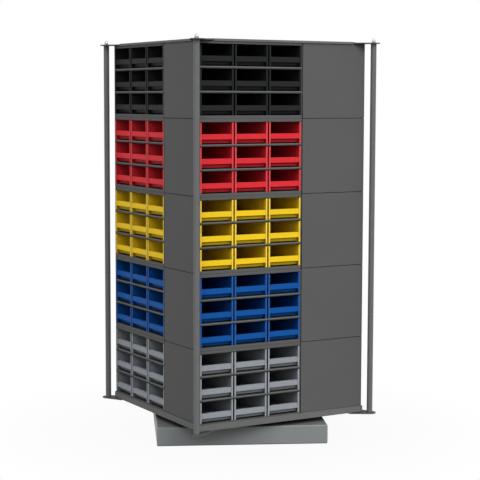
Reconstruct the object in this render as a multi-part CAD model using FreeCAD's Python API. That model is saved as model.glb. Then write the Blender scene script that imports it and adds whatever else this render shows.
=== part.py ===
"""Rotating drawer cabinet carousel.

Five levels of four drawer cabinets stand in a pinwheel on a turntable tray, clamped by four corner posts.
Millimetres, +Z up, origin on the floor on the turning axis. The cabinets lie along X and Y, and the front
cabinets open towards -Y.
"""
import FreeCAD, Part
import math
import os

Vector = FreeCAD.Vector

# Cabinet
cabinet_width = 431.8
cabinet_depth = 279.4
cabinet_height = 279.4
case_sheet = 1.0
stile_width = 2.8
end_rail_height = 11.65
shelf_edge_height = 8.2
shelf_fit_gap = 0.1
rear_hem_depth = 8.6
divider_sheet = 1.0
divider_setback = 12.0
column_count = 3
row_count = 3

# Drawer
drawer_wall = 2.0
drawer_front_inset = 0.5
drawer_side_gap = 0.8
drawer_column_gap = 6.0
drawer_head_room = 2.1
drawer_runner_gap = 0.3
drawer_rear_gap = 1.0
front_flare = 2.9
front_strip_width = 6.5
front_strip_depth = 3.0
band_height = 19.5
band_top_height = 36.2
band_thickness = 2.5
grip_depth = 14.0
drawer_floor_lift = 4.0
drawer_travel = 200.0
stop_ear_length = 12.0
stop_ear_overlap = 3.0
stop_ear_gap = 0.3

# Stack, from the top down, and the faces in turn about +Z
level_colours = ("black", "red", "yellow", "blue", "grey")
faces = ("front", "right", "back", "left")
single_drawer_cabinets = (("front", "red"), ("front", "yellow"), ("front", "blue"))
row_names = ("top", "middle", "bottom")
column_names = ("left", "centre", "right")

# Floor base
base_width = 643.0
base_height = 72.0
base_sheet = 2.5
base_edge_radius = 5.0
base_foot_width = 22.0
base_turn = -25.0

# Bearing
bearing_height = 16.5
bearing_gap = 1.0
bearing_diameter = 300.0
ball_diameter = 8.0
ball_circle_diameter = 240.0
ball_spacing = 30.0
ball_clearance = 0.05
spigot_diameter = 40.0
spigot_clearance = 0.05
spigot_end_gap = 1.5

# Tray and its bearers
tray_sheet = 2.0
tray_band_thickness = 2.0
tray_band_above = 8.0
tray_band_below = 15.5
tray_side_gap = 2.0
bearer_width = 50.0
bearer_length = 600.0
bearer_wall = 2.0
bearer_spacing = 220.0

# Race screws
screw_diameter = 6.0
screw_head_diameter = 11.0
screw_head_height = 2.8
screw_spacing = 170.0
screw_tail = 4.0
screw_clearance = 0.2

# Top cover
cover_sheet = 2.0
cover_lip_thickness = 1.5
cover_lip_height = 9.0
cover_side_gap = 2.5

# Corner posts, plates, rods and nuts
post_diameter = 22.2
post_wall = 1.6
post_offset = 23.5
plate_thickness = 4.0
plate_nose_radius = 24.0
plate_leg = 55.0
plate_seat = 25.0
rod_diameter = 9.5
rod_hole_clearance = 0.3
nut_thread_clearance = 0.05
nut_width = 14.3
nut_hex_height = 8.0
nut_height = 16.0
nut_bore_depth = 11.0
rod_end_gap = 1.0

# Derived sizes
level_count = len(level_colours)
block_width = cabinet_width + cabinet_depth
half_block = block_width / 2
stack_height = level_count * cabinet_height
bay_height = (cabinet_height - 2 * end_rail_height - (row_count - 1) * shelf_edge_height) / row_count
row_pitch = bay_height + shelf_edge_height
drawer_front_width = (
    cabinet_width - 2 * (stile_width + drawer_side_gap) - (column_count - 1) * drawer_column_gap
) / column_count
column_pitch = drawer_front_width + drawer_column_gap
drawer_body_width = drawer_front_width - 2 * front_flare
drawer_height = bay_height - drawer_head_room - drawer_runner_gap
back_sheet_front = cabinet_depth - rear_hem_depth - case_sheet
drawer_length = back_sheet_front - drawer_rear_gap - drawer_front_inset
base_top = base_height
tray_band_bottom = base_top + bearing_height
stack_bottom = tray_band_bottom + tray_band_below
stack_top = stack_bottom + stack_height
cover_top = stack_top + plate_thickness + cover_sheet
lower_plate_bottom = tray_band_bottom - plate_thickness
upper_plate_top = stack_top + plate_thickness


def block(low, high):
    """A box between two corners."""
    size = Vector(*high) - Vector(*low)
    return Part.makeBox(size.x, size.y, size.z, Vector(*low))


def centred_block(width_x, width_y, bottom, top):
    """A box centred on the turning axis."""
    return block((-width_x / 2, -width_y / 2, bottom), (width_x / 2, width_y / 2, top))


def cylinder(diameter, bottom, top, x=0.0, y=0.0):
    """An upright cylinder."""
    return Part.makeCylinder(diameter / 2, top - bottom, Vector(x, y, bottom))


def joined(shapes):
    """One solid from touching or crossing shapes."""
    return shapes[0].multiFuse(shapes[1:]).removeSplitter()


def turned(shape, angle):
    """A copy turned about the vertical axis."""
    copy = shape.copy()
    copy.rotate(Vector(0, 0, 0), Vector(0, 0, 1), angle)
    return copy


def moved(shape, x, y, z):
    """A copy moved from its own place."""
    copy = shape.copy()
    copy.translate(Vector(x, y, z))
    return copy


def save(name, solids):
    """Write one node, as a group if it has several solids."""
    shape = solids[0] if len(solids) == 1 else Part.makeCompound(solids)
    shape.exportStep(os.path.join("parts", name + ".step"))
    print(name, len(solids), "solids", round(sum(solid.Volume for solid in solids) / 1000, 1), "cm3")


# Pieces of one cabinet, with the front on Y = 0, the left side on X = 0 and the underside on Z = 0


def cabinet_case():
    """Two sides with front stiles and rear hems, and the back between them."""
    sides = []
    for outer, inner, stile in (
        (0, case_sheet, stile_width),
        (cabinet_width, cabinet_width - case_sheet, cabinet_width - stile_width),
    ):
        sides.append(block((min(outer, inner), 0, 0), (max(outer, inner), cabinet_depth, cabinet_height)))
        sides.append(block((min(outer, stile), 0, 0), (max(outer, stile), case_sheet, cabinet_height)))
    back = block((0, back_sheet_front, 0), (cabinet_width, back_sheet_front + case_sheet, cabinet_height))
    return joined(sides + [back])


def folded_shelf(edge_height):
    """A shelf sheet with its top on Z = 0 and a front edge folded down between the stiles."""
    sheet_left = case_sheet + shelf_fit_gap
    sheet_front = case_sheet + shelf_fit_gap
    sheet_back = back_sheet_front - shelf_fit_gap
    edge_left = stile_width + shelf_fit_gap
    sheet = block((sheet_left, sheet_front, -case_sheet), (cabinet_width - sheet_left, sheet_back, 0))
    tongue = block((edge_left, 0, -case_sheet), (cabinet_width - edge_left, sheet_front, 0))
    edge = block((edge_left, 0, -edge_height), (cabinet_width - edge_left, case_sheet, 0))
    return joined([sheet, tongue, edge])


def bay_floor(row):
    """Height of a drawer bay's floor, counting rows from the top."""
    return end_rail_height + (row_count - 1 - row) * row_pitch


def edge_above(row):
    """Height of the folded edge over a drawer bay."""
    return end_rail_height if row == 0 else shelf_edge_height


def cabinet_ends():
    """The cabinet's top, and its floor, which is raised by the height of its front rail."""
    panel = folded_shelf(end_rail_height)
    return [moved(panel, 0, 0, cabinet_height), moved(panel, 0, 0, end_rail_height)]


def cabinet_shelves():
    """The shelves between the rows of drawers."""
    shelf = folded_shelf(shelf_edge_height)
    return [moved(shelf, 0, 0, bay_floor(row)) for row in range(row_count - 1)]


def column_left(column):
    """Left edge of a drawer front."""
    return stile_width + drawer_side_gap + column * column_pitch


def cabinet_dividers():
    """Upright guides between neighbouring drawers, set back from the front."""
    dividers = []
    for row in range(row_count):
        top = bay_floor(row) + bay_height + edge_above(row) - case_sheet
        for column in range(1, column_count):
            left = column_left(column) - (drawer_column_gap + divider_sheet) / 2
            dividers.append(
                block(
                    (left, divider_setback, bay_floor(row)),
                    (left + divider_sheet, back_sheet_front, top),
                )
            )
    return dividers


def drawer():
    """One moulded drawer, centred on X = 0, with its front on Y = 0 and its runners on Z = 0."""
    half_front = drawer_front_width / 2
    half_body = drawer_body_width / 2
    inside = half_body - drawer_wall
    ear_front = drawer_travel + case_sheet - drawer_front_inset + stop_ear_gap
    ear_top = drawer_height + drawer_head_room + stop_ear_overlap
    grip_back = grip_depth + drawer_wall
    pieces = []
    for side in (-1, 1):
        wall = sorted((side * half_body, side * inside))
        strip = sorted((side * half_front, side * (half_front - front_strip_width)))
        pieces.append(block((wall[0], 0, 0), (wall[1], drawer_length, drawer_height)))
        pieces.append(block((strip[0], 0, 0), (strip[1], front_strip_depth, drawer_height)))
        pieces.append(
            block((wall[0], ear_front, drawer_height), (wall[1], ear_front + stop_ear_length, ear_top))
        )
    floor_top = drawer_floor_lift + drawer_wall
    pieces.append(
        block((-half_body, grip_depth, drawer_floor_lift), (half_body, drawer_length, floor_top))
    )
    pieces.append(
        block((-half_body, drawer_length - drawer_wall, 0), (half_body, drawer_length, drawer_height))
    )
    pieces.append(
        block((-half_body, grip_depth, drawer_floor_lift), (half_body, grip_back, band_top_height))
    )
    pieces.append(
        block((-half_body, 0, band_top_height - drawer_wall), (half_body, grip_back, band_top_height))
    )
    pieces.append(
        block((-half_body, 0, band_top_height - band_height), (half_body, band_thickness, band_top_height))
    )
    return joined(pieces)


def placed(shape, face, level):
    """A piece of a cabinet at its face and level in the stack."""
    bottom = stack_bottom + (level_count - 1 - level) * cabinet_height
    return turned(moved(shape, -half_block, -half_block, bottom), 90.0 * face)


def cabinet_drawers(face, level):
    """The drawers of one cabinet, row by row from the top left."""
    pattern = drawer()
    drawers = []
    for row in range(row_count):
        for column in range(column_count):
            centre = column_left(column) + drawer_front_width / 2
            height = bay_floor(row) + drawer_runner_gap
            drawers.append(placed(moved(pattern, centre, drawer_front_inset, height), face, level))
    return drawers


# Base, bearing and tray


def base_pan():
    """A folded square pan, open below, on a turned-in foot flange."""
    inner_width = base_width - 2 * base_sheet
    outer = centred_block(base_width, base_width, 0, base_height)
    edges = [edge for edge in outer.Edges if edge.BoundBox.ZMax > base_sheet]
    outer = outer.makeFillet(base_edge_radius, edges)
    hollow = centred_block(inner_width, inner_width, base_sheet, base_height - base_sheet)
    inner_edges = [edge for edge in hollow.Edges if edge.BoundBox.ZMax > 2 * base_sheet]
    hollow = hollow.makeFillet(base_edge_radius - base_sheet, inner_edges)
    foot_width = base_width - 2 * base_foot_width
    foot_hole = centred_block(foot_width, foot_width, 0, 2 * base_sheet)
    return turned(outer.cut(hollow).cut(foot_hole), base_turn)


def ball_ring(diameter):
    """The ring that the balls run in."""
    centre = Vector(0, 0, base_top + bearing_height / 2)
    return Part.makeTorus(ball_circle_diameter / 2, diameter / 2, centre)


def lower_race():
    """A disc with a ball groove and a spigot for the upper race."""
    disc_top = base_top + (bearing_height - bearing_gap) / 2
    disc = cylinder(bearing_diameter, base_top, disc_top)
    disc = disc.cut(ball_ring(ball_diameter + 2 * ball_clearance))
    return joined([disc, cylinder(spigot_diameter, base_top, tray_band_bottom - spigot_end_gap)])


def screw_places():
    """Centres of the race screws."""
    half_x = bearer_spacing / 2
    half_y = screw_spacing / 2
    return [(x, y) for x in (-half_x, half_x) for y in (-half_y, half_y)]


def screw(x, y, clearance):
    """A countersunk screw with its head flush with the underside of the upper race."""
    head_bottom = base_top + (bearing_height + bearing_gap) / 2
    head = Part.makeCone(
        screw_head_diameter / 2 + clearance,
        screw_diameter / 2 + clearance,
        screw_head_height,
        Vector(x, y, head_bottom),
    )
    shank_top = tray_band_bottom + bearer_wall + screw_tail
    return joined([head, cylinder(screw_diameter + 2 * clearance, head_bottom, shank_top, x, y)])


def upper_race():
    """A disc with a ball groove, a bore for the spigot and countersunk holes."""
    disc_bottom = base_top + (bearing_height + bearing_gap) / 2
    disc = cylinder(bearing_diameter, disc_bottom, tray_band_bottom)
    disc = disc.cut(ball_ring(ball_diameter + 2 * ball_clearance))
    disc = disc.cut(cylinder(spigot_diameter + 2 * spigot_clearance, disc_bottom, tray_band_bottom))
    for x, y in screw_places():
        disc = disc.cut(screw(x, y, screw_clearance))
    return disc


def bearing_balls():
    """Balls spread evenly round the groove."""
    radius = ball_circle_diameter / 2
    height = base_top + bearing_height / 2
    count = int(math.pi * ball_circle_diameter / ball_spacing)
    balls = []
    for index in range(count):
        angle = 2 * math.pi * index / count
        centre = Vector(radius * math.cos(angle), radius * math.sin(angle), height)
        balls.append(Part.makeSphere(ball_diameter / 2, centre))
    return balls


def tray_bearers():
    """Two flat tubes between the upper race and the tray's floor."""
    bottom = tray_band_bottom
    top = stack_bottom - tray_sheet
    outer = centred_block(bearer_width, bearer_length, bottom, top)
    inner = centred_block(
        bearer_width - 2 * bearer_wall, bearer_length, bottom + bearer_wall, top - bearer_wall
    )
    tube = outer.cut(inner)
    hole_diameter = screw_diameter + 2 * screw_clearance
    bearers = []
    for side in (-1, 1):
        bearer = moved(tube, side * bearer_spacing / 2, 0, 0)
        for x, y in screw_places():
            bearer = bearer.cut(cylinder(hole_diameter, bottom, bottom + bearer_wall, x, y))
        bearers.append(bearer)
    return bearers


def turntable_tray():
    """A floor sheet inside an upright edge band."""
    inner_width = block_width + 2 * tray_side_gap
    outer_width = inner_width + 2 * tray_band_thickness
    band_top = stack_bottom + tray_band_above
    band = centred_block(outer_width, outer_width, tray_band_bottom, band_top)
    band = band.cut(centred_block(inner_width, inner_width, tray_band_bottom, band_top))
    floor = centred_block(inner_width, inner_width, stack_bottom - tray_sheet, stack_bottom)
    return joined([band, floor])


# Corner clamps and cover


def mirrored(point):
    """A point's image across the corner's diagonal."""
    return Vector(point.y, point.x, point.z)


def plate_root(height):
    """Where a corner plate's edge leaves the front face of the tray or cover."""
    reach = half_block + tray_side_gap + tray_band_thickness
    return Vector(-half_block + plate_leg, -reach, height)


def corner_plate(bottom, hole_clearance):
    """A plate at the front left corner, with a round nose about its post and a hole for the rod."""
    post = Vector(-half_block - post_offset, -half_block - post_offset, bottom)
    root = plate_root(bottom)
    seat = Vector(root.x, -half_block + plate_seat, bottom)
    away = root - post
    turn = math.atan2(away.y, away.x) - math.acos(plate_nose_radius / away.Length)
    tangent = post + Vector(math.cos(turn), math.sin(turn), 0) * plate_nose_radius
    tip = post - Vector(1, 1, 0) * (plate_nose_radius / math.sqrt(2))
    edges = [
        Part.makeLine(mirrored(seat), seat),
        Part.makeLine(seat, root),
        Part.makeLine(root, tangent),
        Part.Arc(tangent, tip, mirrored(tangent)).toShape(),
        Part.makeLine(mirrored(tangent), mirrored(root)),
        Part.makeLine(mirrored(root), mirrored(seat)),
    ]
    plate = Part.Face(Part.Wire(edges)).extrude(Vector(0, 0, plate_thickness))
    hole_diameter = rod_diameter + 2 * hole_clearance
    return plate.cut(cylinder(hole_diameter, bottom, bottom + plate_thickness, post.x, post.y))


def at_corners(shape):
    """Copies of a front left piece at the four corners."""
    return [turned(shape, 90.0 * corner) for corner in range(4)]


def corner_post():
    """A tube between the lower and upper plates."""
    place = -half_block - post_offset
    outer = cylinder(post_diameter, tray_band_bottom, stack_top, place, place)
    return outer.cut(cylinder(post_diameter - 2 * post_wall, tray_band_bottom, stack_top, place, place))


def tie_rod():
    """A rod fixed flush in the lower plate, up through the post and the upper plate into the cap nut."""
    place = -half_block - post_offset
    rod_top = upper_plate_top + nut_bore_depth - rod_end_gap
    return cylinder(rod_diameter, lower_plate_bottom, rod_top, place, place)


def cap_nut():
    """A domed hexagon nut on the front left upper plate, with a blind bore from below."""
    corner = nut_width / math.sqrt(3)
    points = [
        Vector(corner * math.cos(math.radians(60 * k)), corner * math.sin(math.radians(60 * k)), 0)
        for k in range(7)
    ]
    hexagon = Part.Face(Part.makePolygon(points)).extrude(Vector(0, 0, nut_hex_height))
    dome_rise = nut_height - nut_hex_height
    dome_base = nut_width / 2
    dome_radius = (dome_base**2 + dome_rise**2) / (2 * dome_rise)
    dome = Part.makeSphere(dome_radius, Vector(0, 0, nut_height - dome_radius))
    dome = dome.common(cylinder(2 * dome_base, nut_hex_height / 2, nut_height))
    bore = cylinder(rod_diameter + 2 * nut_thread_clearance, 0, nut_bore_depth)
    place = -half_block - post_offset
    return moved(joined([hexagon, dome]).cut(bore), place, place, upper_plate_top)


def top_cover():
    """A sheet with a turned-down lip, cut off at the corners where the corner plates come out."""
    inner_width = block_width + 2 * cover_side_gap
    outer_width = inner_width + 2 * cover_lip_thickness
    lip_foot = cover_top - cover_lip_height
    cover = centred_block(outer_width, outer_width, lip_foot, cover_top)
    cover = cover.cut(centred_block(inner_width, inner_width, lip_foot, cover_top - cover_sheet))
    root = plate_root(lip_foot) + Vector(cover_lip_thickness, 0, 0)
    outside = Vector(-outer_width, -outer_width, lip_foot)
    corner = Part.Face(Part.makePolygon([root, outside, mirrored(root), root]))
    for offcut in at_corners(corner.extrude(Vector(0, 0, cover_lip_height))):
        cover = cover.cut(offcut)
    return cover


os.makedirs("parts", exist_ok=True)
places = [(face, level) for face in range(len(faces)) for level in range(level_count)]

save("base_pan", [base_pan()])
save("bearing_lower_race", [lower_race()])
save("bearing_balls", bearing_balls())
save("bearing_upper_race", [upper_race()])
save("race_screws", [screw(x, y, 0.0) for x, y in screw_places()])
save("tray_bearers", tray_bearers())
save("turntable_tray", [turntable_tray()])
lower_plate = corner_plate(lower_plate_bottom, 0.0)
upper_plate = corner_plate(stack_top, rod_hole_clearance)
save("corner_plates", at_corners(lower_plate) + at_corners(upper_plate))
save("corner_posts", at_corners(corner_post()))
save("tie_rods", at_corners(tie_rod()))
save("cap_nuts", at_corners(cap_nut()))
save("top_cover", [top_cover()])
save("cabinet_cases", [placed(cabinet_case(), *place) for place in places])
save("cabinet_end_panels", [placed(panel, *place) for place in places for panel in cabinet_ends()])
save("drawer_shelves", [placed(shelf, *place) for place in places for shelf in cabinet_shelves()])
save("drawer_dividers", [placed(sheet, *place) for place in places for sheet in cabinet_dividers()])

for face, level in places:
    cabinet = faces[face], level_colours[level]
    drawers = cabinet_drawers(face, level)
    if cabinet not in single_drawer_cabinets:
        save("_".join(cabinet) + "_drawers", drawers)
        continue
    names = ["_".join((row, column)) for row in row_names for column in column_names]
    for name, solid in zip(names, drawers):
        save("_".join(cabinet) + "_drawer_" + name, [solid])
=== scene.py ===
"""Looks of a rotating drawer cabinet carousel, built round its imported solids."""
import itertools
import math

import bmesh
import bpy
from bpy.props import FloatProperty, FloatVectorProperty, PointerProperty
from mathutils import Matrix, Vector


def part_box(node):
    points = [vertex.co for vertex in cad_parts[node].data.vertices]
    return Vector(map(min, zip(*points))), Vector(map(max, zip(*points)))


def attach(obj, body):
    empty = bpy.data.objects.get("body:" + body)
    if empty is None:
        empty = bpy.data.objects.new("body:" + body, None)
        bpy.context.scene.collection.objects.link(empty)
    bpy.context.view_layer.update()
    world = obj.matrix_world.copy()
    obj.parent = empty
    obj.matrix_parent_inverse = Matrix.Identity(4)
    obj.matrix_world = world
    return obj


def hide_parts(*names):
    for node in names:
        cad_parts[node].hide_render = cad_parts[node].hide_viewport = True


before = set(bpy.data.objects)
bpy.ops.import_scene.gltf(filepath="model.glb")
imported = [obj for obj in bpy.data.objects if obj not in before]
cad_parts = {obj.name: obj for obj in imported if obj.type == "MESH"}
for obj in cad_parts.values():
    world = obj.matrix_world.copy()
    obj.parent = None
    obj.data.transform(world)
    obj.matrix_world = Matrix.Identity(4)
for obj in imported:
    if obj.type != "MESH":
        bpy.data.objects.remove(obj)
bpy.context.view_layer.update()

bl_info = {
    "name": "Drawer Cabinet Carousel",
    "version": (1, 0, 0),
    "blender": (4, 5, 0),
    "location": "3D View > Sidebar > Carousel",
    "description": "Dresses a packed drawer carousel: cabinets, drawers, clamps, base and studio",
    "category": "Object",
}

MM = 0.001
FACES = ("front", "right", "back", "left")
LEVELS = ("black", "red", "yellow", "blue", "grey")

# Limits of the mesh tools: lengths in metres, angles in radians, the rest plain numbers
TOUCH = 1e-6
WELD_REACH = 1e-5
FLAT_ANGLE = 0.001
SHARP_ANGLE = 0.6
FLAT_WEIGHT = 90
GRID_DIGITS = 7

# How far the finishes look for edges, seams, ledges and corners
EDGE_REACH = 1.2 * MM
SEAM_REACH = 6.0 * MM
CORNER_REACH = 30.0 * MM
INSIDE_REACH = 150.0 * MM
LEDGE_REACH = 200.0 * MM

# How steeply the masks of the finishes rise
EDGE_GAIN = 4.0
CREVICE_GAIN = 1.6

case_low, case_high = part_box("cabinet_cases")
tray_low, tray_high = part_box("turntable_tray")
cover_low, cover_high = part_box("top_cover")
base_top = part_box("base_pan")[1].z
post_low, post_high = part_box("corner_posts")
plate_low, plate_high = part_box("corner_plates")
drawer_low, drawer_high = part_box("front_red_drawer_top_left")
drawer_width, drawer_depth, drawer_height = (drawer_high[axis] - drawer_low[axis] for axis in range(3))
level_height = (case_high.z - case_low.z) / len(LEVELS)


# Settings


def length(name, description, default):
    """A length in metres."""
    return FloatProperty(
        name=name, description=description, default=default, min=0.0, precision=5, unit="LENGTH"
    )


def turning(name, description, degrees):
    """An angle, given in degrees."""
    return FloatProperty(name=name, description=description, default=math.radians(degrees), subtype="ANGLE")


def tint(name, description, default):
    """A surface colour."""
    return FloatVectorProperty(
        name=name, description=description, default=default, min=0.0, max=1.0, size=3, subtype="COLOR"
    )


def share(name, description, default):
    """A plain number."""
    return FloatProperty(name=name, description=description, default=default, min=0.0)


class CabinetSizes(bpy.types.PropertyGroup):
    """Sizes of the sheet-steel cabinets."""

    width: length("Width", "Outside width of one cabinet", 0.4318)
    depth: length("Depth", "Outside depth of one cabinet", 0.2794)
    sheet: length("Sheet", "Thickness of the sheet steel", 1.0 * MM)
    stile: length("Stile", "Width of the folded front edge of a side", 2.8 * MM)
    back: length("Back", "How far the back sheet stands behind the front", 269.8 * MM)
    end_rail: length("End rail", "Height of the rail in front of the top and the floor", 11.65 * MM)
    shelf_edge: length("Shelf edge", "Height of the folded front edge of a shelf", 8.2 * MM)
    case_fold: length("Case fold", "Rounding of the outer edges of a case", 0.9 * MM)
    shelf_fold: length("Shelf fold", "Outside radius of the fold at the front of a shelf", 2.0 * MM)
    hem: length("Hem", "How far the lower edge of a shelf's fold is turned in", 3.0 * MM)
    hem_bend: share("Hem bend", "Share of the fold's height that stays upright above the hem", 0.55)
    seam: length("Seam", "Gap that shows between one cabinet and the one above", 1.8 * MM)
    slot: length("Slot", "Gap that shows between a side's rear edge and the next cabinet", 3.0 * MM)
    fit: length("Fit", "Gap round a shelf", 0.1 * MM)
    divider_ease: length("Divider ease", "Rounding of the dividers' edges", 0.2 * MM)


class DrawerSizes(bpy.types.PropertyGroup):
    """Sizes of a moulded drawer."""

    wall: length("Wall", "Wall thickness", 2.0 * MM)
    flare: length("Flare", "How far the front strips stand out past the sides", 2.9 * MM)
    height: length("Height", "Height of the sides", 77.5 * MM)
    strip_width: length("Strip width", "Width of the upright strips at the front", 6.5 * MM)
    strip_depth: length("Strip depth", "Thickness of the upright strips", 3.0 * MM)
    band_height: length("Band height", "Height of the pull band", 19.5 * MM)
    band_top: length("Band top", "Height of the pull band's top edge", 36.2 * MM)
    band_thickness: length("Band thickness", "Thickness of the pull band", 2.5 * MM)
    band_setback: length("Band setback", "How far the pull band stands behind the strips", 1.5 * MM)
    grip: length("Grip", "Finger room behind the pull band", 14.0 * MM)
    floor_lift: length("Floor lift", "Height of the floor above the runners", 4.0 * MM)
    ear_front: length("Ear front", "How far back the stop ears start", 204.0 * MM)
    ear_length: length("Ear length", "Length of a stop ear", 12.0 * MM)
    toe_depth: length("Toe depth", "How far the apron under the pull band stands behind the front", 11.0 * MM)
    toe_lift: length("Toe lift", "Height of the apron's foot above the floor's underside", 1.2 * MM)
    toe_foot: length("Toe foot", "How far the apron's foot stands in front of the front wall", 0.5 * MM)
    toe_lean: length("Toe lean", "Height of the apron's leaning part", 9.0 * MM)
    toe_height: length("Toe height", "Height of the apron", 12.0 * MM)
    toe_ease: length("Toe ease", "Rounding of the apron's edges", 0.5 * MM)
    edge: length("Edge", "Rounding of the outer edges", 0.45 * MM)
    fillet: length("Fillet", "Rounding of the inner corners", 2.6 * MM)
    band_round: length("Band round", "Rounding of the pull band's lower front edge", 1.0 * MM)


class ClampSizes(bpy.types.PropertyGroup):
    """Sizes of the corner plates, posts and nuts."""

    post_diameter: length("Post", "Outside diameter of a post", 22.2 * MM)
    post_wall: length("Post wall", "Wall thickness of a post", 1.6 * MM)
    post_ease: length("Post ease", "Chamfer of a post's ends", 0.5 * MM)
    post_offset: length("Post offset", "How far a post stands off the stack on each side", 23.5 * MM)
    plate: length("Plate", "Thickness of a corner plate", 4.0 * MM)
    plate_ease: length("Plate ease", "Rounding of a corner plate's edges", 0.6 * MM)
    nose: length("Nose", "Radius of a corner plate about its post", 24.0 * MM)
    leg: length("Leg", "Reach of a corner plate along the stack's edge", 55.0 * MM)
    seat: length("Seat", "Reach of a corner plate under or over the stack", 25.0 * MM)
    nut_width: length("Nut width", "Width of a cap nut across its flats", 14.3 * MM)
    nut_hex: length("Nut hexagon", "Height of a cap nut's hexagon", 8.0 * MM)
    nut_height: length("Nut height", "Height of a cap nut", 16.0 * MM)
    nut_chamfer: length("Nut chamfer", "Height of the chamfers of a cap nut's hexagon", 0.9 * MM)
    nut_neck: length("Nut neck", "Height of the step between a cap nut's hexagon and dome", 0.2 * MM)


class BaseSizes(bpy.types.PropertyGroup):
    """Sizes of the floor base, the tray and the cover."""

    width: length("Base width", "Side of the square base", 643.0 * MM)
    sheet: length("Base sheet", "Thickness of the base's sheet", 2.5 * MM)
    edge: length("Base edge", "Radius of the base's folds", 5.0 * MM)
    foot: length("Foot", "Width of the turned-in foot flange", 22.0 * MM)
    foot_corner: length("Foot corner", "Radius of the inner corners of the foot flange", 0.8 * MM)
    turn: turning("Turn", "How far the base stands turned", -25)
    corner: length("Corner", "Radius of the corners of the tray and the cover", 1.0 * MM)
    tray_sheet: length("Tray sheet", "Thickness of the tray's floor and band", 2.0 * MM)
    tray_below: length("Tray below", "How far the tray's band reaches below the stack", 15.5 * MM)
    tray_ease: length("Tray ease", "Rounding of the tray's edges", 0.8 * MM)
    bearer_ease: length("Bearer ease", "Rounding of the tray bearers' edges", 0.6 * MM)
    cover_sheet: length("Cover sheet", "Thickness of the cover", 2.0 * MM)
    cover_lip: length("Cover lip", "Thickness of the cover's lip", 1.5 * MM)
    cover_ease: length("Cover ease", "Rounding of the cover's edges", 0.6 * MM)


class Finishes(bpy.types.PropertyGroup):
    """Colours of the finishes."""

    cabinet_paint: tint("Cabinet paint", "Powder coat of the cabinets, tray and cover", (0.110, 0.113, 0.110))
    # Paler copy of the cabinet paint for the tray, cover and shelves: painted light on their lips and folds
    painted_light_lift: share("Paler batch", "How much paler the paint of the tray, cover and shelves is", 1.37)
    base_paint: tint("Base paint", "Powder coat of the base", (0.214, 0.230, 0.230))
    post_paint: tint("Post paint", "Gloss paint of the posts", (0.140, 0.143, 0.144))
    bearing_steel: tint("Bearing steel", "Turned steel of the races and balls", (0.42, 0.42, 0.41))
    zinc_steel: tint("Zinc plate", "Plated screws and rods", (0.55, 0.56, 0.58))
    nut_chrome: tint("Chrome", "Plated cap nuts", (0.46, 0.47, 0.48))
    drawer_black: tint("Black", "Plastic of the top level's drawers", (0.022, 0.024, 0.023))
    drawer_red: tint("Red", "Plastic of the second level's drawers", (0.75, 0.032, 0.044))
    drawer_yellow: tint("Yellow", "Plastic of the third level's drawers", (0.95, 0.63, 0.018))
    drawer_blue: tint("Blue", "Plastic of the fourth level's drawers", (0.008, 0.094, 0.37))
    drawer_grey: tint("Grey", "Plastic of the bottom level's drawers", (0.31, 0.335, 0.365))


class Studio(bpy.types.PropertyGroup):
    """Camera and light."""

    camera_place: FloatVectorProperty(
        name="Camera", description="Where the camera stands", default=(-2.7858, -4.8783, 1.2908),
        size=3, subtype="TRANSLATION", unit="LENGTH",
    )
    camera_pan: turning("Pan", "Camera's turn to the right of +Y", 29.88)
    camera_tilt: turning("Tilt", "Camera's turn below level", 5.58)
    camera_roll: turning("Roll", "Camera's turn about its line of sight", 0.156)
    camera_lens: FloatProperty(
        name="Lens", description="Focal length on the sensor below", default=107.9, min=1.0, unit="CAMERA"
    )
    sensor: FloatProperty(
        name="Sensor", description="Width of the camera's sensor", default=36.0, min=1.0, unit="CAMERA"
    )
    far_clip: length("Far clip", "How far the camera sees", 60.0)
    floor_reach: length("Floor reach", "Radius of the studio floor", 9.0)
    shadow: share("Shadow", "Share of the lit floor that shows near the object", 0.05)
    ambient: share("Ambient", "Light from all round", 0.95)
    key: share("Key", "Strength of the far soft light from the front", 1.48)
    key_pan: turning("Key pan", "Key light's turn to the left of the front", -10)
    key_rise: turning("Key rise", "Key light's height above level", 38)
    spread: turning("Spread", "How wide the far lights look", 30)
    side: share("Side", "Strength of the far soft light from the left", 0.68)
    side_pan: turning("Side pan", "Side light's turn to the left of the front", 62)
    side_rise: turning("Side rise", "Side light's height above level", 50)


class CarouselSettings(bpy.types.PropertyGroup):
    """All the settings of the carousel."""

    cabinet: PointerProperty(type=CabinetSizes, name="Cabinets", description="Sizes of the cabinets")
    drawer: PointerProperty(type=DrawerSizes, name="Drawers", description="Sizes of the drawers")
    clamp: PointerProperty(type=ClampSizes, name="Clamps", description="Sizes of the corner clamps")
    base: PointerProperty(type=BaseSizes, name="Base", description="Sizes of the base, tray and cover")
    finish: PointerProperty(type=Finishes, name="Finishes", description="Colours of the finishes")
    studio: PointerProperty(type=Studio, name="Studio", description="Camera and light")


# Shader sums


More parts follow.
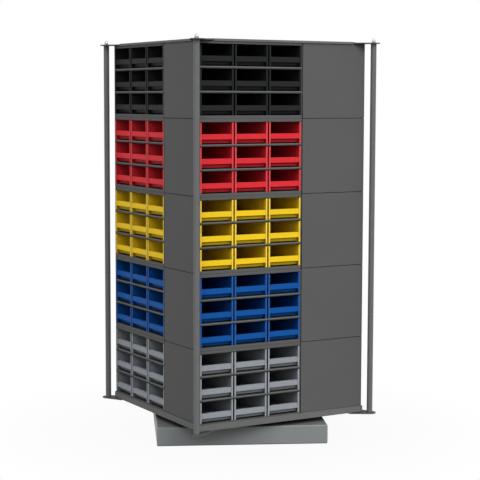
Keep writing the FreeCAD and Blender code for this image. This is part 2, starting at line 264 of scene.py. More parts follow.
class Wire:
    """A socket in a node tree; sums and products of wires add their Math nodes."""

    def __init__(self, tree, socket=None):
        self.tree = tree
        self.socket = socket

    def feed(self, node, inputs):
        """Set or link a node's sockets."""
        for name, value in inputs.items():
            if isinstance(value, Wire):
                self.tree.links.new(value.socket, node.inputs[name])
            else:
                node.inputs[name].default_value = value

    def node(self, kind, settings=None, inputs=None, output=0):
        """Add a node, set it up, feed its sockets and give one of its outputs."""
        made = self.tree.nodes.new(kind)
        for name, value in (settings or {}).items():
            setattr(made, name, value)
        self.feed(made, inputs or {})
        return Wire(self.tree, made.outputs[output])

    def maths(self, operation, *values):
        """A Math node on this wire's tree."""
        return self.node("ShaderNodeMath", {"operation": operation}, dict(enumerate(values)))

    def vector_maths(self, operation, *values, output=0):
        """A Vector Math node on this wire's tree."""
        settings = {"operation": operation}
        return self.node("ShaderNodeVectorMath", settings, dict(enumerate(values)), output)

    def __add__(self, other):
        return self.maths("ADD", self, other)

    def __radd__(self, other):
        return self.maths("ADD", other, self)

    def __sub__(self, other):
        return self.maths("SUBTRACT", self, other)

    def __rsub__(self, other):
        return self.maths("SUBTRACT", other, self)

    def __mul__(self, other):
        return self.maths("MULTIPLY", self, other)

    def __rmul__(self, other):
        return self.maths("MULTIPLY", other, self)

    def held(self):
        """The value kept between 0 and 1."""
        return self.node("ShaderNodeClamp", None, {"Value": self})

    def blend(self, low, high):
        """A colour from low to high as this value goes from 0 to 1."""
        return self.node("ShaderNodeMix", {"data_type": "RGBA"}, {0: self, 6: low, 7: high}, 2)

    def noise(self, scale, detail=2.0, stretch=(1.0, 1.0, 1.0)):
        """Noise over the place that this wire holds."""
        place = self.vector_maths("MULTIPLY", self, stretch)
        return self.node("ShaderNodeTexNoise", None, {"Vector": place, "Scale": scale, "Detail": detail})

    def bump(self, strength, distance):
        """A normal from this height."""
        return self.node("ShaderNodeBump", None, {"Strength": strength, "Distance": distance, "Height": self})


def toned(colour, factor):
    """A colour made lighter or darker, with its alpha."""
    return (*(min(1.0, channel * factor) for channel in colour), 1.0)


def new_finish(name):
    """A material with its tree, its shader and the place on the piece."""
    material = bpy.data.materials.new(name)
    material.use_nodes = True
    wires = Wire(material.node_tree)
    place = wires.node("ShaderNodeTexCoord", output="Object")
    return material, wires, material.node_tree.nodes["Principled BSDF"], place


def edge_mask(wires):
    """1 along sharp edges, 0 on the flats."""
    rounded = wires.node("ShaderNodeBevel", {"samples": 4}, {"Radius": EDGE_REACH})
    straight = wires.node("ShaderNodeNewGeometry", output="Normal")
    along = wires.vector_maths("DOT_PRODUCT", rounded, straight, output="Value")
    return ((1.0 - along) * EDGE_GAIN).held()


def crevice(wires, reach, open_from=0.92):
    """1 in gaps and inner corners up to the reach across, 0 on open flats."""
    openness = wires.node("ShaderNodeAmbientOcclusion", {"samples": 8}, {"Distance": reach}, "AO")
    return ((open_from - openness) * CREVICE_GAIN).held()


def upward(wires):
    """1 on level faces that look up, 0 on upright ones."""
    facing = wires.node("ShaderNodeNewGeometry", output="Normal")
    return wires.node("ShaderNodeSeparateXYZ", None, {"Vector": facing}, "Z").held()


# Finishes


def powder_coat(name, colour, roughness, specular):
    """Sheet-steel paint: orange peel, faint clouding, rubbed edges with a painted highlight, painted shade in
    seams and on ledges under overhangs.
    """
    material, wires, shader, place = new_finish(name)
    clouds = place.noise(scale=3.2, detail=4.0)
    peel = place.noise(scale=950.0, detail=1.0)
    specks = place.noise(scale=260.0, detail=0.0)
    rubs = place.noise(scale=38.0, detail=3.0)
    # Paler rubbed edges: paint wear where the noise allows, and a painted highlight along the edges
    rubbed_and_highlit = (edge_mask(wires) * ((rubs - 0.42) * 3.0).held()).held()
    # Painted shade: darker in seams, gaps and inner corners
    seam_painted_shade = crevice(wires, SEAM_REACH) * 0.75
    # Painted shade on upward faces under overhangs, darker the more they are sheltered
    ledge_painted_shade = crevice(wires, LEDGE_REACH, 1.0) * upward(wires) * 0.8
    tone = clouds.blend(toned(colour, 0.93), toned(colour, 1.07))
    tone = ((specks - 0.62) * 1.6).held().blend(tone, toned(colour, 1.22))
    tone = (rubbed_and_highlit * 0.5).blend(tone, toned(colour, 1.7))
    tone = seam_painted_shade.blend(tone, toned(colour, 0.25))
    tone = ledge_painted_shade.blend(tone, toned(colour, 0.15))
    wires.feed(
        shader,
        {
            "Base Color": tone,
            "Roughness": roughness + (clouds - 0.5) * 0.14 + (peel - 0.5) * 0.10 - rubbed_and_highlit * 0.08,
            "Specular IOR Level": specular,
            "Normal": (peel + specks * 0.5).bump(strength=0.22, distance=0.25 * MM),
        },
    )
    return material


def gloss_paint(name, colour):
    """Smooth tube paint under a clear coat, with faint drawing lines and handling marks."""
    material, wires, shader, place = new_finish(name)
    lines = place.noise(scale=420.0, detail=2.0, stretch=(1.0, 1.0, 0.012))
    marks = place.noise(scale=21.0, detail=4.0)
    tone = marks.blend(toned(colour, 0.88), toned(colour, 1.12))
    wires.feed(
        shader,
        {
            "Base Color": tone,
            "Roughness": 0.30 + ((marks - 0.5) * 0.9).held() * 0.25 + (lines - 0.5) * 0.06,
            "Specular IOR Level": 0.15,
            "Coat Weight": 0.06,
            "Coat Roughness": 0.15,
            "Normal": lines.bump(strength=0.06, distance=0.1 * MM),
        },
    )
    return material


def moulded_plastic(name, colour, specular):
    """Moulded drawer plastic: fine grain, slight flow shading, scuffs, edges and strips paler with wear and a
    painted highlight, and painted shade in corners and insides.
    """
    material, wires, shader, place = new_finish(name)
    flow = place.noise(scale=7.0, detail=3.0, stretch=(1.0, 1.0, 2.2))
    grain = place.noise(scale=1500.0, detail=1.0)
    scuffs = ((place.noise(scale=64.0, detail=5.0, stretch=(1.0, 1.0, 3.5)) - 0.58) * 5.0).held()
    strip = wires.node("ShaderNodeAttribute", {"attribute_name": "strip"}, output="Fac")
    # Edges paler with wear and a painted highlight, the strips paler with a painted highlight only, the
    # scuffs wear
    worn_and_highlit = (edge_mask(wires) * 0.3 + strip * 0.17 + scuffs * 0.10).held()
    wear_and_highlight_tint = toned([channel * 0.75 + max(colour) * 0.25 for channel in colour], 1.12)
    corner_shade = crevice(wires, CORNER_REACH) * 0.6
    inside_shade = crevice(wires, INSIDE_REACH, 0.7) * 0.22
    tone = flow.blend(toned(colour, 0.93), toned(colour, 1.05))
    tone = worn_and_highlit.blend(tone, wear_and_highlight_tint)
    tone = corner_shade.blend(tone, toned(colour, 0.25))
    tone = inside_shade.blend(tone, toned(colour, 0.15))
    wires.feed(
        shader,
        {
            "Base Color": tone,
            "Roughness": 0.36 + scuffs * 0.16 + (grain - 0.5) * 0.10,
            "Specular IOR Level": specular,
            "Normal": grain.bump(strength=0.12, distance=0.15 * MM),
        },
    )
    return material


def bare_steel(name, colour, roughness, rings):
    """Turned or plated steel: fine tool rings round the axis and an oily bloom."""
    material, wires, shader, place = new_finish(name)
    level = wires.vector_maths("MULTIPLY", place, (1.0, 1.0, 0.0))
    radius = wires.vector_maths("LENGTH", level, output="Value")
    lathe_lines = wires.maths("SINE", radius * rings) * 0.5 + 0.5
    bloom = place.noise(scale=16.0, detail=4.0)
    tone = bloom.blend(toned(colour, 0.82), toned(colour, 1.1))
    wires.feed(
        shader,
        {
            "Base Color": tone,
            "Metallic": 1.0,
            "Roughness": roughness + (bloom - 0.5) * 0.18 + lathe_lines * 0.05,
            "Normal": (lathe_lines + place.noise(scale=600.0) * 0.6).bump(strength=0.10, distance=0.1 * MM),
        },
    )
    return material


def chrome(name, colour):
    """Polished plate with faint smears."""
    material, wires, shader, place = new_finish(name)
    smears = place.noise(scale=180.0, detail=4.0)
    wires.feed(
        shader,
        {
            "Base Color": smears.blend(toned(colour, 0.92), toned(colour, 1.05)),
            "Metallic": 1.0,
            "Roughness": 0.06 + ((smears - 0.5) * 2.0).held() * 0.16,
            "Normal": place.noise(scale=900.0).bump(strength=0.03, distance=0.05 * MM),
        },
    )
    return material


def finish_of(context, slot, painted_light):
    """The material of a slot, made when it is first asked for, as a paler copy of painted light if one is
    named.
    """
    name = slot + painted_light + "_finish"
    known = bpy.data.materials.get(name)
    if known:
        return known
    finishes = context.scene.carousel.finish
    colour = getattr(finishes, slot)
    # The paler copy is painted light: the same paint, made lighter
    if painted_light:
        colour = [channel * finishes.painted_light_lift for channel in colour]
    if slot == "cabinet_paint":
        return powder_coat(name, colour, roughness=0.50, specular=0.03)
    if slot == "base_paint":
        return powder_coat(name, colour, roughness=0.46, specular=0.40)
    if slot == "post_paint":
        return gloss_paint(name, colour)
    if slot == "bearing_steel":
        return bare_steel(name, colour, roughness=0.30, rings=5200.0)
    if slot == "zinc_steel":
        return bare_steel(name, colour, roughness=0.38, rings=900.0)
    if slot == "nut_chrome":
        return chrome(name, colour)
    return moulded_plastic(name, colour, specular=0.04)


# Mesh tools


def blocks_shell(blocks):
    """One closed shell round boxes that touch or cross, each box two corners."""
    corners = [corner for block in blocks for corner in block]
    planes = [sorted({round(corner[axis], GRID_DIGITS) for corner in corners}) for axis in range(3)]
    middles = [[(a + b) / 2 for a, b in zip(line, line[1:])] for line in planes]
    filled = set()
    for cell in itertools.product(*(range(len(line)) for line in middles)):
        spot = [line[index] for line, index in zip(middles, cell)]
        if any(all(low[axis] < spot[axis] < high[axis] for axis in range(3)) for low, high in blocks):
            filled.add(cell)
    shell = bmesh.new()
    made = {}

    def vert_at(index):
        if index not in made:
            made[index] = shell.verts.new([line[step] for line, step in zip(planes, index)])
        return made[index]

    for cell in filled:
        for axis, side in itertools.product(range(3), (0, 1)):
            beyond = list(cell)
            beyond[axis] += 2 * side - 1
            if tuple(beyond) in filled:
                continue
            loop = []
            for step in ((0, 0), (1, 0), (1, 1), (0, 1)):
                index = list(cell)
                index[axis] += side
                index[(axis + 1) % 3] += step[0]
                index[(axis + 2) % 3] += step[1]
                loop.append(vert_at(tuple(index)))
            shell.faces.new(loop if side else loop[::-1])
    merge_flats(shell)
    return shell


def merge_flats(shell):
    """Join neighbouring faces that lie in one plane."""
    shell.normal_update()
    bmesh.ops.dissolve_limit(shell, angle_limit=FLAT_ANGLE, verts=shell.verts, edges=shell.edges)


def sharp_edges(shell):
    """The edges between faces that meet at a clear angle."""
    return [edge for edge in shell.edges if edge.is_manifold and edge.calc_face_angle() > SHARP_ANGLE]


def round_edges(shell, radius, segments, wanted=None):
    """Round the sharp edges, or those of them that are wanted."""
    sharp = [edge for edge in sharp_edges(shell) if wanted is None or wanted(edge)]
    bmesh.ops.bevel(
        shell, geom=sharp, offset=radius, offset_type="OFFSET", segments=segments, profile=0.5,
        affect="EDGES", clamp_overlap=True, material=-1,
    )


def cut_across(shell, spot, facing, **choices):
    """Cut a shell along the plane through a spot."""
    parts = [*shell.verts, *shell.edges, *shell.faces]
    return bmesh.ops.bisect_plane(shell, geom=parts, plane_co=spot, plane_no=facing, **choices)


def near(value, *targets):
    """Whether a value is one of the targets."""
    return any(abs(value - target) < TOUCH for target in targets)


def both_ends(edge, test):
    """Whether both ends of an edge pass a test."""
    return all(test(vert.co) for vert in edge.verts)


def outline_plate(points, bottom, top):
    """A plate of the given outline."""
    shell = bmesh.new()
    face = shell.faces.new([shell.verts.new((x, y, bottom)) for x, y in points])
    grown = bmesh.ops.extrude_face_region(shell, geom=[face], use_keep_orig=True)
    lifted = [item for item in grown["geom"] if isinstance(item, bmesh.types.BMVert)]
    bmesh.ops.translate(shell, verts=lifted, vec=(0, 0, top - bottom))
    bmesh.ops.recalc_face_normals(shell, faces=shell.faces)
    return shell


def square_ring(half, radius):
    """Points round a square with round corners."""
    points = []
    steps = 6
    for corner in range(4):
        for step in range(steps + 1):
            angle = math.pi / 2 * (corner + step / steps)
            centre = math.pi / 2 * (corner + 0.5)
            reach = (half - radius) * math.sqrt(2)
            points.append(
                (
                    reach * math.cos(centre) + radius * math.cos(angle),
                    reach * math.sin(centre) + radius * math.sin(angle),
                )
            )
    return points


def square_shell(profile):
    """Squares of half width, corner radius and height, joined in turn and closed at both ends."""
    shell = bmesh.new()
    rings = []
    for half, radius, height in profile:
        rings.append([shell.verts.new((x, y, height)) for x, y in square_ring(half, radius)])
    for low, high in zip(rings, rings[1:]):
        for index, start in enumerate(low):
            after = (index + 1) % len(low)
            shell.faces.new((start, low[after], high[after], high[index]))
    shell.faces.new(rings[0])
    shell.faces.new(rings[-1])
    bmesh.ops.recalc_face_normals(shell, faces=shell.faces)
    return shell


def turned_shell(profile, segments, limit=None):
    """A profile of radius and height swept round Z, closed where it meets its start or the axis."""
    shell = bmesh.new()
    rings = []
    for radius, height in profile:
        ring = []
        for index in range(segments):
            angle = 2 * math.pi * index / segments
            reach = radius if limit is None else min(radius, limit(angle))
            ring.append(shell.verts.new((reach * math.cos(angle), reach * math.sin(angle), height)))
        rings.append(ring)
    for low, high in zip(rings, rings[1:]):
        for index in range(segments):
            after = (index + 1) % segments
            shell.faces.new((low[index], low[after], high[after], high[index]))
    bmesh.ops.remove_doubles(shell, verts=shell.verts, dist=TOUCH)
    holes = [edge for edge in shell.edges if edge.is_boundary]
    if holes:
        bmesh.ops.holes_fill(shell, edges=holes)
    bmesh.ops.recalc_face_normals(shell, faces=shell.faces)
    return shell


def bevel_edges(piece, width, method):
    """Round a piece's edges by a modifier."""
    bevel = piece.modifiers.new("edges", "BEVEL")
    bevel.width = width
    bevel.segments = 2
    bevel.limit_method = method


def patterned(name, shells, places, rounding=0.0):
    """An object with a copy of each shell at each place; a rounding goes to edges by their weight."""
    whole = bmesh.new()
    for shell in shells:
        pattern = bpy.data.meshes.new("pattern")
        shell.to_mesh(pattern)
        for place in places:
            copy = pattern.copy()
            copy.transform(place)
            whole.from_mesh(copy)
            bpy.data.meshes.remove(copy)
        bpy.data.meshes.remove(pattern)
    mesh = bpy.data.meshes.new(name)
    whole.to_mesh(mesh)
    whole.free()
    mesh.shade_smooth()
    piece = bpy.data.objects.new(name, mesh)
    bpy.context.scene.collection.objects.link(piece)
    if rounding:
        bevel_edges(piece, rounding, "WEIGHT")
    flats = piece.modifiers.new("flats", "WEIGHTED_NORMAL")
    flats.weight = FLAT_WEIGHT
    return piece


def settle(context, piece, body, slot, *nodes, painted_light=""):
    """Give a new piece its finish, its body and the nodes it stands for."""
    piece.data.materials.append(finish_of(context, slot, painted_light))
    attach(piece, body)
    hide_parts(*nodes)


def dress_node(context, node, slot, edge=0.0):
    """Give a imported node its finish, close its seams, and round its edges where that is asked for."""
    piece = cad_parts[node]
    for holder in piece.material_slots:
        holder.material = finish_of(context, slot, "")
    weld = piece.modifiers.new("weld", "WELD")
    weld.merge_threshold = WELD_REACH
    if edge:
        bevel_edges(piece, edge, "ANGLE")
        piece.modifiers.new("flats", "WEIGHTED_NORMAL")


def face_turn(face):
    """The turn from the front face to another face."""
    return Matrix.Rotation(math.radians(90 * FACES.index(face)), 4, "Z")


def cabinet_places():
    """Where the front left foot of each cabinet stands."""
    return [
        face_turn(face) @ Matrix.Translation((case_low.x, case_low.y, case_low.z + level * level_height))
        for face in FACES
        for level in range(len(LEVELS))
    ]


def corner_turns():
    """The turns from the front left corner to the four corners."""
    return [face_turn(face) for face in FACES]


def post_place(clamp):
    """Where the front left post stands."""
    return Vector((case_low.x - clamp.post_offset, case_low.y - clamp.post_offset, 0.0))


# Pieces


class CarouselPiece:
    """What the operators of the carousel share."""

    bl_options = {"REGISTER", "UNDO"}


class CAROUSEL_OT_base(CarouselPiece, bpy.types.Operator):
    """Folds the floor base"""

    bl_idname = "carousel.base"
    bl_label = "Floor base"

    def execute(self, context):
        sizes = context.scene.carousel.base
        half = sizes.width / 2
        inner = half - sizes.sheet
        foot = half - sizes.foot
        fold_start = half - sizes.edge
        start_corner = 0.1 * MM
        fold_steps, fold_step = 6, math.radians(14)
        profile = [
            (inner, sizes.sheet, base_top - sizes.sheet),
            (inner, sizes.sheet, sizes.sheet),
            (foot, sizes.foot_corner, sizes.sheet),
            (foot, sizes.foot_corner, 0.0),
            (fold_start, start_corner, 0.0),
        ]
        for step in range(-fold_steps, fold_steps + 1):
            reach = sizes.edge * math.cos(fold_step * step)
            rise = sizes.edge * math.sin(fold_step * step)
            middle = base_top - sizes.edge if step > 0 else sizes.edge
            profile.append((fold_start + reach, reach, middle + rise))
            if step == 0:
                profile.append((half, sizes.edge, base_top - sizes.edge))
        profile.append((fold_start, start_corner, base_top))
        shell = square_shell(profile)
        turn = Matrix.Rotation(sizes.turn, 4, "Z")
        settle(context, patterned("floor_base", [shell], [turn]), "base", "base_paint", "base_pan")
        return {"FINISHED"}


class CAROUSEL_OT_bearing(CarouselPiece, bpy.types.Operator):
    """Finishes the races and the balls"""

    bl_idname = "carousel.bearing"
    bl_label = "Bearing"

    def execute(self, context):
        for node in ("bearing_lower_race", "bearing_upper_race", "bearing_balls"):
            dress_node(context, node, "bearing_steel")
        dress_node(context, "race_screws", "zinc_steel")
        return {"FINISHED"}


class CAROUSEL_OT_tray(CarouselPiece, bpy.types.Operator):
    """Folds the turntable tray and finishes its bearers"""

    bl_idname = "carousel.tray"
    bl_label = "Turntable tray"

    def execute(self, context):
        sizes = context.scene.carousel.base
        half = tray_high.x
        inner = half - sizes.tray_sheet
        floor = tray_low.z + sizes.tray_below
        heights = (floor - sizes.tray_sheet, tray_low.z, tray_low.z, tray_high.z, tray_high.z, floor)
        halves = (inner, inner, half, half, inner, inner)
        shell = square_shell([(reach, sizes.corner, height) for reach, height in zip(halves, heights)])
        round_edges(shell, sizes.tray_ease, segments=3)
        piece = patterned("turntable_tray_folded", [shell], [Matrix()])
        # The tray takes the paler copy of the paint, painted light on its band
        settle(context, piece, "carousel", "cabinet_paint", "turntable_tray", painted_light="_pale")
        dress_node(context, "tray_bearers", "cabinet_paint", edge=sizes.bearer_ease)
        return {"FINISHED"}


class CAROUSEL_OT_cases(CarouselPiece, bpy.types.Operator):
    """Folds the twenty cabinet cases"""

    bl_idname = "carousel.cases"
    bl_label = "Cabinet cases"

    def execute(self, context):
        sizes = context.scene.carousel.cabinet
        low = sizes.seam / 2
        high = level_height - low
        rear = sizes.depth - sizes.slot
        blocks = [((0.0, sizes.back, low), (sizes.width, sizes.back + sizes.sheet, high))]
        for outer, inner, stile in (
            (0.0, sizes.sheet, sizes.stile),
            (sizes.width, sizes.width - sizes.sheet, sizes.width - sizes.stile),
        ):
            side = sorted((outer, inner))
            front = sorted((outer, stile))
            blocks.append(((side[0], 0.0, low), (side[1], rear, high)))
            blocks.append(((front[0], 0.0, low), (front[1], sizes.sheet, high)))
        shell = blocks_shell(blocks)

        def lies_on(line, axis, *planes):
            return any(both_ends(line, lambda spot: near(spot[axis], plane)) for plane in planes)

        def outer_edge(line):
            on_side = lies_on(line, 0, 0.0, sizes.width)
            on_front = lies_on(line, 1, 0.0)
            on_rear = lies_on(line, 1, rear)
            on_end = lies_on(line, 2, low, high)
            return on_side + on_end + on_front + on_rear == 2 and not (on_end and on_rear)

        round_edges(shell, sizes.case_fold, segments=3, wanted=outer_edge)
        piece = patterned("cabinet_cases_folded", [shell], cabinet_places())
        settle(context, piece, "carousel", "cabinet_paint", "cabinet_cases")
        return {"FINISHED"}


class CAROUSEL_OT_shelves(CarouselPiece, bpy.types.Operator):
    """Folds the cabinet tops, floors and shelves"""

    bl_idname = "carousel.shelves"
    bl_label = "Tops, floors and shelves"

    def execute(self, context):
        sizes = context.scene.carousel.cabinet
        bay = (level_height - 2 * sizes.end_rail - 2 * sizes.shelf_edge) / 3
        shelf_tops = [sizes.end_rail + row * (bay + sizes.shelf_edge) for row in (1, 2)]
        end_tops = (sizes.end_rail, level_height)
        left = sizes.sheet + sizes.fit
        fold_left = sizes.stile + sizes.fit
        notch = sizes.shelf_fold + sizes.sheet

        def fold_line(depth):
            return lambda line: both_ends(line, lambda spot: near(spot.y, depth) and near(spot.z, -depth))

        # The shelves take the paler copy of the paint, painted light on their folds; the end panels keep the
        # plain paint
        for name, node, painted_light, drop, hem, tops in (
            ("cabinet_ends_folded", "cabinet_end_panels", "", sizes.end_rail, 0.0, end_tops),
            ("drawer_shelves_folded", "drawer_shelves", "_pale", sizes.shelf_edge, sizes.hem, shelf_tops),
        ):
            shell = blocks_shell(
                [
                    ((left, notch, -sizes.sheet), (sizes.width - left, sizes.back - sizes.fit, 0.0)),
                    ((fold_left, 0.0, -sizes.sheet), (sizes.width - fold_left, notch, 0.0)),
                    ((fold_left, 0.0, -drop), (sizes.width - fold_left, sizes.sheet, 0.0)),
                ]
            )
            round_edges(shell, sizes.shelf_fold - sizes.sheet, segments=3, wanted=fold_line(sizes.sheet))
            round_edges(shell, sizes.shelf_fold, segments=3, wanted=fold_line(0.0))
            if hem:
                cut_across(shell, (0, 0, -sizes.hem_bend * drop), (0, 0, 1))
                for vert in shell.verts:
                    if near(vert.co.z, -drop):
                        vert.co.y += hem
            places = [place @ Matrix.Translation((0, 0, top)) for place in cabinet_places() for top in tops]
            piece = patterned(name, [shell], places)
            settle(context, piece, "carousel", "cabinet_paint", node, painted_light=painted_light)
        dress_node(context, "drawer_dividers", "cabinet_paint", edge=sizes.divider_ease)
        return {"FINISHED"}


class CAROUSEL_OT_drawers(CarouselPiece, bpy.types.Operator):
    """Moulds the drawers and puts each into its bay"""

    bl_idname = "carousel.drawers"
    bl_label = "Drawers"

    def shell(self, sizes):
        """One drawer, centred on X, with its front on Y = 0 and its runners on Z = 0."""
        half_front = drawer_width / 2
        half_body = half_front - sizes.flare
        inside = half_body - sizes.wall
        strip_inside = half_front - sizes.strip_width
        back = drawer_depth
        ear_top = drawer_height
        ear_back = sizes.ear_front + sizes.ear_length
        grip_back = sizes.grip + sizes.wall
        floor = sizes.floor_lift + sizes.wall
        band_bottom = sizes.band_top - sizes.band_height
        band_front = sizes.band_setback
        band_back = band_front + sizes.band_thickness
        blocks = [
            ((-half_body, sizes.grip, sizes.floor_lift), (half_body, back, floor)),
            ((-half_body, back - sizes.wall, 0.0), (half_body, back, sizes.height)),
            ((-half_body, sizes.grip, sizes.floor_lift), (half_body, grip_back, sizes.band_top)),
            ((-half_body, band_front, sizes.band_top - sizes.wall), (half_body, grip_back, sizes.band_top)),
            ((-half_body, band_front, band_bottom), (half_body, band_back, sizes.band_top)),
        ]
        for side in (-1, 1):
            wall = sorted((side * half_body, side * inside))
            strip = sorted((side * half_front, side * strip_inside))
            blocks.append(((wall[0], 0.0, 0.0), (wall[1], back, sizes.height)))
            blocks.append(((strip[0], 0.0, 0.0), (strip[1], sizes.strip_depth, sizes.height)))
            blocks.append(((wall[0], sizes.ear_front, sizes.height), (wall[1], ear_back, ear_top)))
        shell = blocks_shell(blocks)
        # Cut at the middle, so that the U-shaped rim doesn't break up into slivers
        cut_across(shell, (0, 0, 0), (1, 0, 0))

        def band_foot(spot):
            return near(spot.y, band_front) and near(spot.z, band_bottom)

        def box_corner(spot):
            on_floor = near(spot.z, floor)
            on_end = near(spot.y, grip_back, back - sizes.wall)
            on_side = near(abs(spot.x), inside)
            within = spot.y > sizes.grip and spot.z > sizes.floor_lift
            return within and on_floor + on_end + on_side >= 2

        weights = shell.edges.layers.float.new("bevel_weight_edge")
        for line in sharp_edges(shell):
            radius = sizes.edge
            if both_ends(line, band_foot):
                radius = sizes.band_round
            elif both_ends(line, box_corner):
                radius = sizes.fillet
            line[weights] = radius / sizes.fillet
        # Strip faces are marked for a painted highlight, a paler tone in the plastic's finish
        mark = shell.faces.layers.float.new("strip")
        for face in shell.faces:
            spot = face.calc_center_median()
            face[mark] = float(abs(spot.x) > strip_inside - sizes.edge and spot.y < sizes.strip_depth)
        return shell

    def toe(self, sizes):
        """The front's apron under the pull band, which leans back towards its foot."""
        half = drawer_width / 2 - sizes.flare - sizes.wall / 2
        back = sizes.grip + sizes.wall / 2
        low = sizes.floor_lift + sizes.toe_lift
        points = (
            (back, low),
            (sizes.grip - sizes.toe_foot, low),
            (sizes.toe_depth, low + sizes.toe_lean),
            (sizes.toe_depth, low + sizes.toe_height),
            (back, low + sizes.toe_height),
        )
        shell = outline_plate(points, -half, half)
        round_edges(shell, sizes.toe_ease, segments=2)
        across = Matrix(((0, 0, 1, 0), (1, 0, 0, 0), (0, 1, 0, 0), (0, 0, 0, 1)))
        bmesh.ops.transform(shell, matrix=across, verts=shell.verts)
        return shell

    def places(self, node, face):
        """Where the drawers of a node stand: one, or three rows of three."""
        turn = face_turn(face)
        corners = [turn.inverted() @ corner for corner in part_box(node)]
        low = Vector(map(min, *corners))
        high = Vector(map(max, *corners))
        first = low.x + drawer_width / 2
        across = high.x - drawer_width - low.x
        rise = high.z - drawer_height - low.z
        steps = (0.0, 0.5, 1.0) if across > drawer_width else (0.0,)
        return [
            turn @ Matrix.Translation((first + across * column, low.y, low.z + rise * row))
            for row in steps
            for column in steps
        ]

    def execute(self, context):
        sizes = context.scene.carousel.drawer
        shells = [self.shell(sizes), self.toe(sizes)]
        for node in sorted(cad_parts):
            words = node.split("_")
            if words[0] in FACES:
                places = self.places(node, words[0])
                piece = patterned(node + "_moulded", shells, places, rounding=sizes.fillet)
                settle(context, piece, node, "drawer_" + words[1], node)
        return {"FINISHED"}


class CAROUSEL_OT_posts(CarouselPiece, bpy.types.Operator):
    """Makes the four tube posts and finishes the rods in them"""

    bl_idname = "carousel.posts"
    bl_label = "Corner posts"

    def execute(self, context):
        sizes = context.scene.carousel.clamp
        outer = sizes.post_diameter / 2
        inner = outer - sizes.post_wall
        ease = sizes.post_ease
        low, high = post_low.z, post_high.z
        shell = turned_shell(
            [
                (inner, low), (outer - ease, low), (outer, low + ease), (outer, high - ease),
                (outer - ease, high), (inner, high), (inner, low),
            ],
            segments=64,
        )
        foot = Matrix.Translation(post_place(sizes))
        places = [turn @ foot for turn in corner_turns()]
        piece = patterned("corner_posts_tube", [shell], places)
        settle(context, piece, "carousel", "post_paint", "corner_posts")
        dress_node(context, "tie_rods", "zinc_steel")
        return {"FINISHED"}


class CAROUSEL_OT_plates(CarouselPiece, bpy.types.Operator):
    """Cuts the eight corner plates"""

    bl_idname = "carousel.plates"
    bl_label = "Corner plates"

    def execute(self, context):
        sizes = context.scene.carousel.clamp
        post = post_place(sizes).xy
        root = Vector((case_low.x + sizes.leg, tray_low.y))
        seat = Vector((root.x, case_low.y + sizes.seat))
        away = root - post
        start = math.atan2(away.y, away.x) - math.acos(sizes.nose / away.length)
        sweep = -1.5 * math.pi - 2 * start
        points = [seat, root]
        nose_steps = 32
        for step in range(nose_steps + 1):
            angle = start + sweep * step / nose_steps
            points.append(post + Vector((math.cos(angle), math.sin(angle))) * sizes.nose)
        points += [root.yx, seat.yx]
        shells = []
        for bottom in (plate_low.z, plate_high.z - sizes.plate):
            shell = outline_plate(points, bottom, bottom + sizes.plate)
            round_edges(shell, sizes.plate_ease, segments=2)
            shells.append(shell)
        piece = patterned("corner_plates_cut", shells, corner_turns())
        settle(context, piece, "carousel", "cabinet_paint", "corner_plates")
        return {"FINISHED"}


class CAROUSEL_OT_nuts(CarouselPiece, bpy.types.Operator):
    """Turns the four domed cap nuts"""

    bl_idname = "carousel.nuts"
    bl_label = "Cap nuts"

    def execute(self, context):
        sizes = context.scene.carousel.clamp
        flat = sizes.nut_width / 2
        corner = sizes.nut_width / math.sqrt(3)
        hexagon = sizes.nut_hex
        dome_foot = hexagon + sizes.nut_neck
        foot_reach, shoulder_reach, neck_reach, dome_reach = (flat * part for part in (0.93, 0.97, 0.9, 0.88))
        dome_steps = 12

        def flats(angle):
            return flat / math.cos((angle + math.pi / 6) % (math.pi / 3) - math.pi / 6)

        profile = [
            (0.0, 0.0),
            (foot_reach, 0.0),
            (corner, sizes.nut_chamfer),
            (corner, hexagon - sizes.nut_chamfer),
            (shoulder_reach, hexagon),
            (neck_reach, dome_foot),
        ]
        for step in range(1, dome_steps + 1):
            angle = math.pi / 2 * step / dome_steps
            rise = (sizes.nut_height - dome_foot) * math.sin(angle)
            profile.append((dome_reach * math.cos(angle), dome_foot + rise))
        shell = turned_shell(profile, segments=48, limit=flats)
        seat = Matrix.Translation(post_place(sizes) + Vector((0.0, 0.0, plate_high.z)))
        places = [turn @ seat for turn in corner_turns()]
        piece = patterned("cap_nuts_domed", [shell], places)
        settle(context, piece, "carousel", "nut_chrome", "cap_nuts")
        return {"FINISHED"}


class CAROUSEL_OT_cover(CarouselPiece, bpy.types.Operator):
    """Folds the top cover and cuts off its corners"""

    bl_idname = "carousel.cover"
    bl_label = "Top cover"

    def execute(self, context):
        sizes = context.scene.carousel.base
        half = cover_high.x
        inner = half - sizes.cover_lip
        heights = (cover_high.z - sizes.cover_sheet, cover_low.z, cover_low.z, cover_high.z)
        halves = (inner, inner, half, half)
        shell = square_shell([(reach, sizes.corner, height) for reach, height in zip(halves, heights)])
        leg = context.scene.carousel.clamp.leg
        cut = Vector((case_low.x + leg + sizes.cover_lip, -half, 0.0))
        for turn in corner_turns():
            parted = cut_across(shell, turn @ cut, turn @ Vector((-1, -1, 0)), clear_outer=True)
            rim = [item for item in parted["geom_cut"] if isinstance(item, bmesh.types.BMEdge)]
            bmesh.ops.holes_fill(shell, edges=rim)
        bmesh.ops.recalc_face_normals(shell, faces=shell.faces)
        merge_flats(shell)
        round_edges(shell, sizes.cover_ease, segments=2)
        piece = patterned("top_cover_folded", [shell], [Matrix()])
        # The cover takes the paler copy of the paint, painted light on its lip
        settle(context, piece, "carousel", "cabinet_paint", "top_cover", painted_light="_pale")
        return {"FINISHED"}


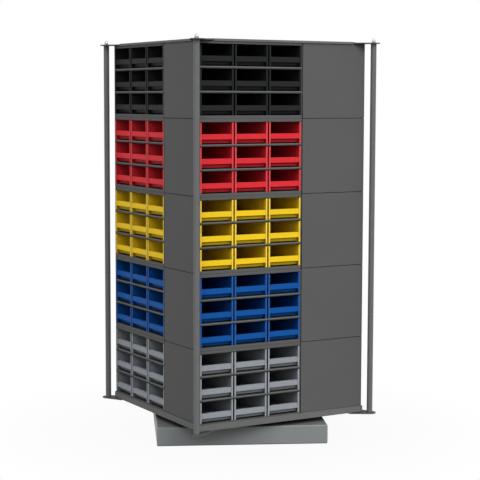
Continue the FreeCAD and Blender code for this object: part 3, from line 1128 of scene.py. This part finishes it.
class CAROUSEL_OT_stage(CarouselPiece, bpy.types.Operator):
    """Sets up the floor, the lights and the camera"""

    bl_idname = "carousel.stage"
    bl_label = "Studio"

    def seen(self, wires):
        """1 for what the camera sees, straight, mirrored or through glass."""
        kinds = ("Camera", "Glossy", "Transmission")
        straight, mirrored, through = (
            wires.node("ShaderNodeLightPath", output=f"Is {kind} Ray") for kind in kinds
        )
        return (straight + mirrored + through).held()

    def floor(self, studio):
        """A wide pale floor that keeps the object's shadow."""
        shell = turned_shell([(0.0, 0.0), (studio.floor_reach, 0.0)], segments=96)
        mesh = bpy.data.meshes.new("studio_floor")
        shell.to_mesh(mesh)
        floor = bpy.data.objects.new("studio_floor", mesh)
        bpy.context.scene.collection.objects.link(floor)
        material, wires, shader, place = new_finish("studio_floor_finish")
        tree = material.node_tree
        mottle = place.noise(scale=1.4, detail=3.0)
        pale = mottle.blend((0.84, 0.84, 0.84, 1.0), (0.87, 0.87, 0.87, 1.0))
        lit = wires.node("ShaderNodeBsdfDiffuse", None, {"Color": pale})
        white = wires.node("ShaderNodeEmission", None, {"Color": (1.0, 1.0, 1.0, 1.0), "Strength": 1.0})
        away = wires.vector_maths("LENGTH", place, output="Value")
        fade = ((away - 0.3) * 1.2).held()
        glow = (1.0 - studio.shadow) + fade * studio.shadow
        mixed = wires.node("ShaderNodeMixShader", None, {0: self.seen(wires) * glow, 1: lit, 2: white})
        tree.links.new(mixed.socket, tree.nodes["Material Output"].inputs["Surface"])
        tree.nodes.remove(shader)
        mesh.materials.append(material)

    def sky(self, ambient):
        """White for what the camera sees, soft grey light for the rest."""
        world = bpy.data.worlds.new("studio_sky")
        world.use_nodes = True
        bpy.context.scene.world = world
        wires = Wire(world.node_tree)
        tone = self.seen(wires).blend((ambient, ambient, ambient, 1.0), (1.0, 1.0, 1.0, 1.0))
        wires.feed(world.node_tree.nodes["Background"], {"Color": tone, "Strength": 1.0})

    def far_light(self, name, strength, spread, pan, rise):
        """A far soft light, even from top to bottom."""
        data = bpy.data.lights.new(name, "SUN")
        data.energy = strength
        data.angle = spread
        light = bpy.data.objects.new(name, data)
        light.rotation_euler = (math.pi / 2 - rise, 0.0, -pan)
        bpy.context.scene.collection.objects.link(light)

    def camera(self, studio):
        """The photograph's view."""
        pan, tilt, roll = studio.camera_pan, studio.camera_tilt, studio.camera_roll
        ahead = Vector((math.sin(pan) * math.cos(tilt), math.cos(pan) * math.cos(tilt), -math.sin(tilt)))
        level = Vector((math.cos(pan), -math.sin(pan), 0.0))
        plumb = level.cross(ahead)
        right = level * math.cos(roll) + plumb * math.sin(roll)
        up = plumb * math.cos(roll) - level * math.sin(roll)
        data = bpy.data.cameras.new("camera")
        data.lens = studio.camera_lens
        data.sensor_width = studio.sensor
        data.clip_end = studio.far_clip
        camera = bpy.data.objects.new("camera", data)
        turned = Matrix((right, up, -ahead)).transposed().to_4x4()
        camera.matrix_world = Matrix.Translation(studio.camera_place) @ turned
        bpy.context.scene.collection.objects.link(camera)
        bpy.context.scene.camera = camera

    def execute(self, context):
        studio = context.scene.carousel.studio
        self.floor(studio)
        self.sky(studio.ambient)
        self.far_light("key_light", studio.key, studio.spread, studio.key_pan, studio.key_rise)
        self.far_light("side_light", studio.side, studio.spread, studio.side_pan, studio.side_rise)
        self.camera(studio)
        context.scene.view_settings.view_transform = "Standard"
        return {"FINISHED"}


OPERATORS = (
    CAROUSEL_OT_base,
    CAROUSEL_OT_bearing,
    CAROUSEL_OT_tray,
    CAROUSEL_OT_cases,
    CAROUSEL_OT_shelves,
    CAROUSEL_OT_drawers,
    CAROUSEL_OT_posts,
    CAROUSEL_OT_plates,
    CAROUSEL_OT_nuts,
    CAROUSEL_OT_cover,
    CAROUSEL_OT_stage,
)


class CAROUSEL_PT_panel(bpy.types.Panel):
    """Lists the carousel's operators"""

    bl_idname = "CAROUSEL_PT_panel"
    bl_label = "Drawer carousel"
    bl_space_type = "VIEW_3D"
    bl_region_type = "UI"
    bl_category = "Carousel"

    def draw(self, context):
        for operator in OPERATORS:
            self.layout.operator(operator.bl_idname)


CLASSES = (
    CabinetSizes,
    DrawerSizes,
    ClampSizes,
    BaseSizes,
    Finishes,
    Studio,
    CarouselSettings,
    *OPERATORS,
    CAROUSEL_PT_panel,
)


def register():
    """Make the settings, operators and panel known."""
    for item in CLASSES:
        bpy.utils.register_class(item)
    bpy.types.Scene.carousel = PointerProperty(type=CarouselSettings)


def unregister():
    """Take them away again."""
    del bpy.types.Scene.carousel
    for item in reversed(CLASSES):
        bpy.utils.unregister_class(item)


def main():
    """Build every piece and the studio."""
    register()
    for operator in OPERATORS:
        getattr(bpy.ops.carousel, operator.bl_idname.split(".")[1])()


if __name__ == "__main__":
    main()
